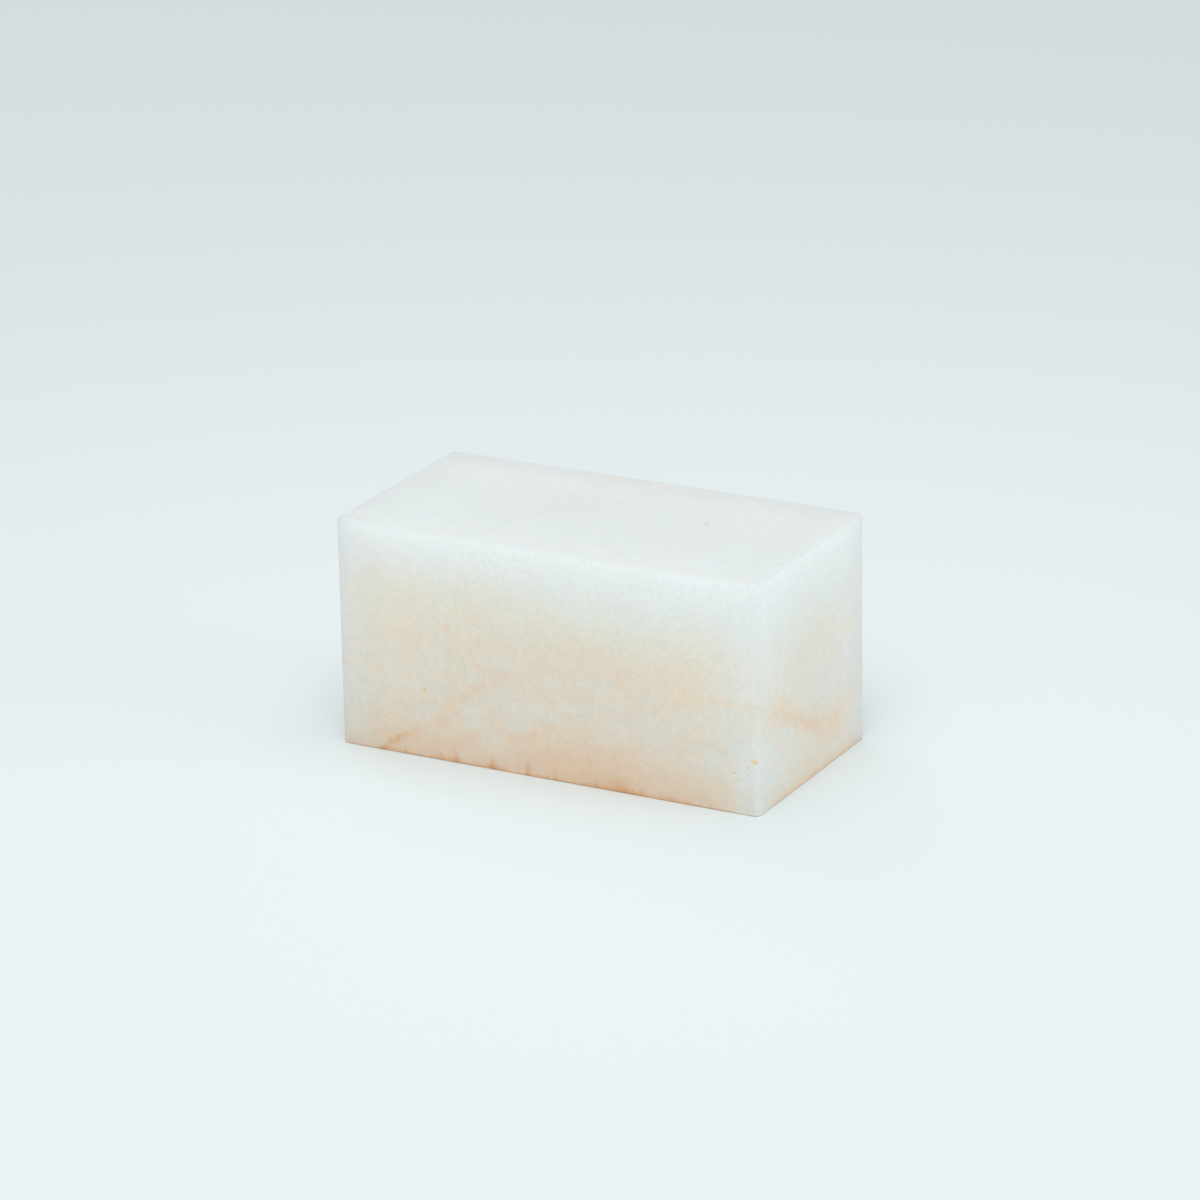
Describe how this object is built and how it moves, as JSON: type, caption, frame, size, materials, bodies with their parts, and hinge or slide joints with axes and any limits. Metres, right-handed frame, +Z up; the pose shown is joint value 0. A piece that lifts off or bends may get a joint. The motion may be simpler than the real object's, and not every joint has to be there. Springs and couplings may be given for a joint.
{
  "type": "rectangular block",
  "caption": "Solid rectangular block of pale, softly translucent veined stone with lightly eased edges, sized for the hand and resting on any flat face.",
  "frame": {"origin": "centre of the bottom face, on the surface that the block rests on", "axes": "+X along the length, +Y from the front face to the back face, +Z up"},
  "size_m": [0.1, 0.051, 0.051],
  "materials": {
    "veined_stone": "satin"
  },
  "bodies": {
    "root": {"block": "veined_stone"}
  },
  "joints": []
}
